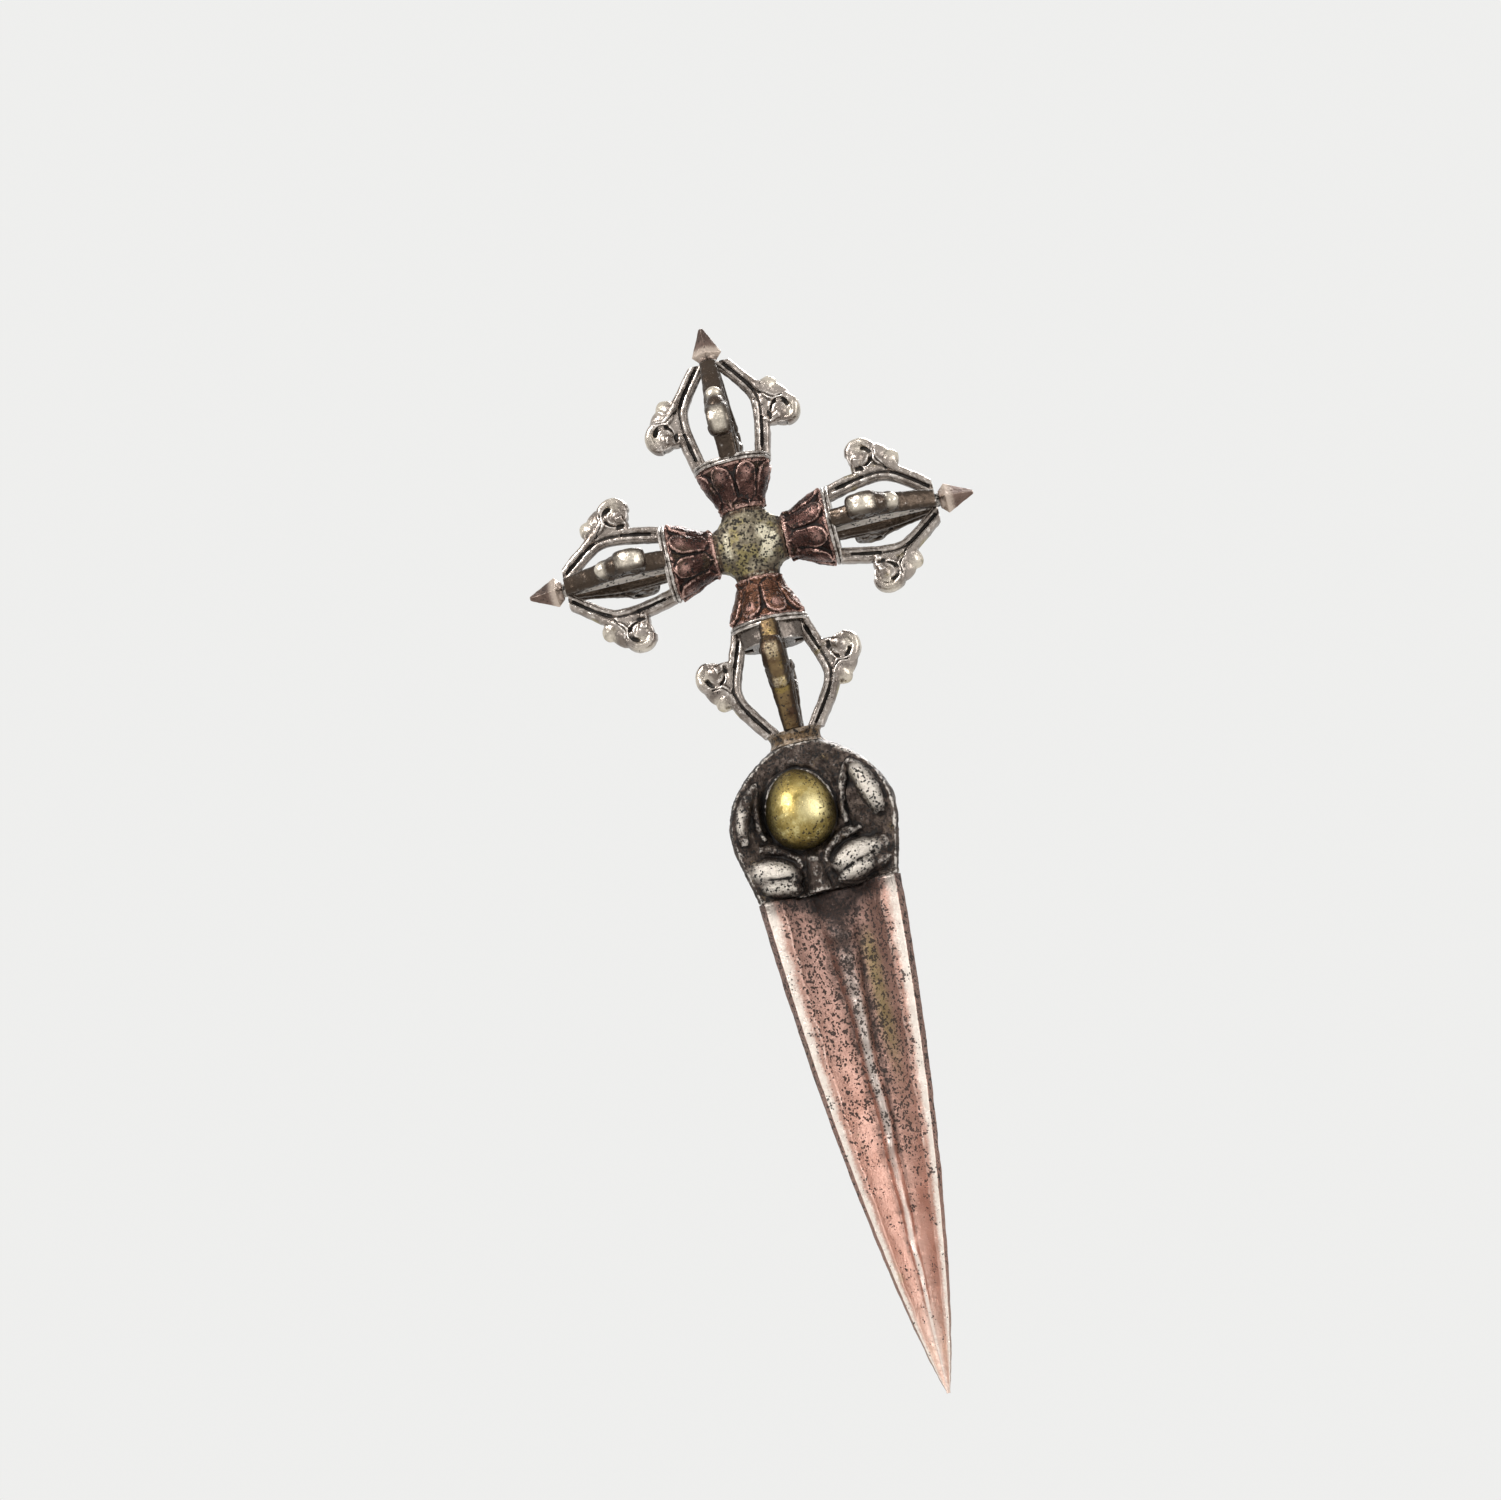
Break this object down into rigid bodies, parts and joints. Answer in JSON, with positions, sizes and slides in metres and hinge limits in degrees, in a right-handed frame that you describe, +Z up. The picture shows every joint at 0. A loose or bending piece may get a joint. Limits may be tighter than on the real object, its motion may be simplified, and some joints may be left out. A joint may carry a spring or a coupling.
{
  "type": "phurba",
  "caption": "Small ritual dagger of mixed copper metals: three-sided hollow-ground blade, beast head with jewel and bean eyes, and a crossed vajra of caged arms on a brass hub.",
  "frame": {"origin": "the tip of the blade", "axes": "+Z up the shaft to the top point, +X to the right, -Y the front face with its jewel towards the viewer"},
  "size_m": [0.061, 0.0239, 0.1456],
  "materials": {
    "blade_copper": "worn red copper, pitted",
    "dark_bronze": "dark patina, worn on the high parts",
    "jewel_brass": "brushed",
    "hub_brass": "worn, speckled",
    "collar_copper": "dark red copper, worn",
    "white_copper": "worn white copper with dark lines",
    "tip_copper": "worn red copper",
    "prong_brass": "worn brass"
  },
  "bodies": {
    "root": {"blade": "blade_copper", "head": "dark_bronze", "jewel_front": "jewel_brass", "jewel_right": "jewel_brass", "jewel_left": "jewel_brass", "neck_ring": "dark_bronze", "hub": "hub_brass", "top_collar": "collar_copper", "right_collar": "collar_copper", "bottom_collar": "collar_copper", "left_collar": "collar_copper", "top_rim": "white_copper", "right_rim": "white_copper", "bottom_rim": "white_copper", "left_rim": "white_copper", "top_pin": "dark_bronze", "right_pin": "dark_bronze", "left_pin": "dark_bronze", "top_tip": "tip_copper", "right_tip": "tip_copper", "left_tip": "tip_copper", "top_prong_front": "white_copper", "top_prong_back": "white_copper", "top_prong_right": "white_copper", "top_prong_left": "white_copper", "right_prong_front": "white_copper", "right_prong_back": "white_copper", "right_prong_upper": "white_copper", "right_prong_lower": "white_copper", "bottom_prong_front": "prong_brass", "bottom_prong_back": "white_copper", "bottom_prong_right": "white_copper", "bottom_prong_left": "white_copper", "left_prong_front": "white_copper", "left_prong_back": "white_copper", "left_prong_upper": "white_copper", "left_prong_lower": "white_copper"}
  },
  "joints": []
}
